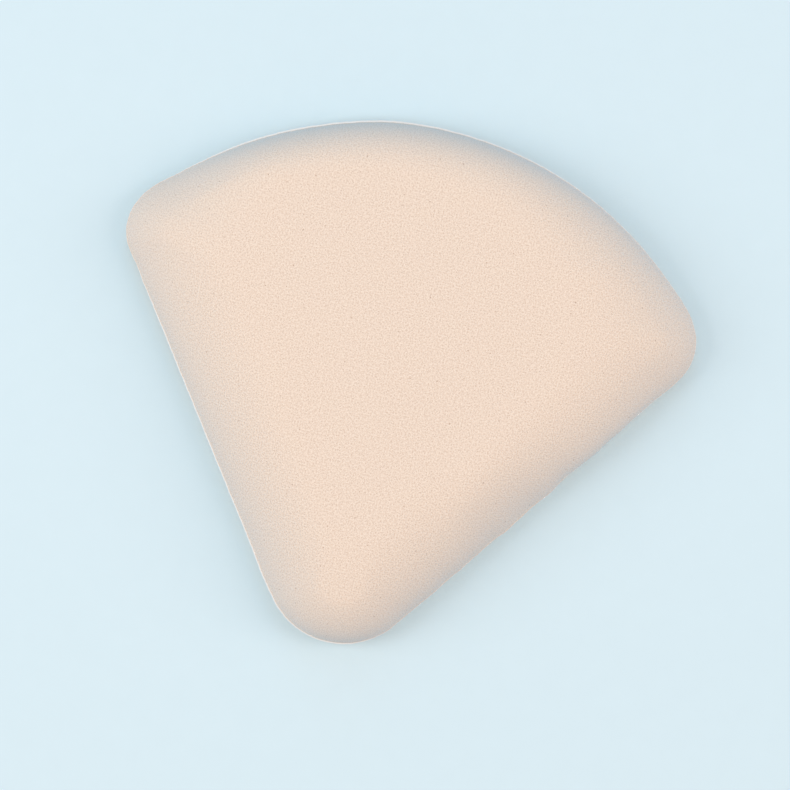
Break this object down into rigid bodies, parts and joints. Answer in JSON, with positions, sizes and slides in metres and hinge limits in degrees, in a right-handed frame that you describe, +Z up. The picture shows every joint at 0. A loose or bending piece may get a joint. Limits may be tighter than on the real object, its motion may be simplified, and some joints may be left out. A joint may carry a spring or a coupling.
{
  "type": "powder puff",
  "caption": "Rounded fan-shaped powder puff: a fine-pored domed face over a soft foam core, closed by a flat back with a satin finger ribbon, for pressing powder onto skin.",
  "frame": {"origin": "under the middle of the puff's box, on the surface it lies on", "axes": "+X across the fan's width, +Y from the round tip to the wide arc, +Z up out of the face"},
  "size_m": [0.0718, 0.0656, 0.0111],
  "materials": {
    "face_skin": "matt fine-pored polyurethane skin",
    "liner_film": "thin satin film",
    "foam_core": "soft open-cell foam",
    "bond_film": "melted adhesive film",
    "back_sheet": "matt brushed sheet",
    "finger_ribbon": "satin weave"
  },
  "bodies": {
    "pad": {"face_skin": "face_skin", "liner_film": "liner_film", "foam_core": "foam_core", "bond_film": "bond_film", "back_sheet": "back_sheet"},
    "ribbon": {"finger_ribbon": "finger_ribbon"}
  },
  "joints": [
    {"name": "ribbon_lift", "type": "slide", "parent": "pad", "child": "ribbon", "axis": [0, 0, -1], "range_m": [0, 0.01], "stiffness_N_per_m": 20, "deforming": ["finger_ribbon"]}
  ]
}
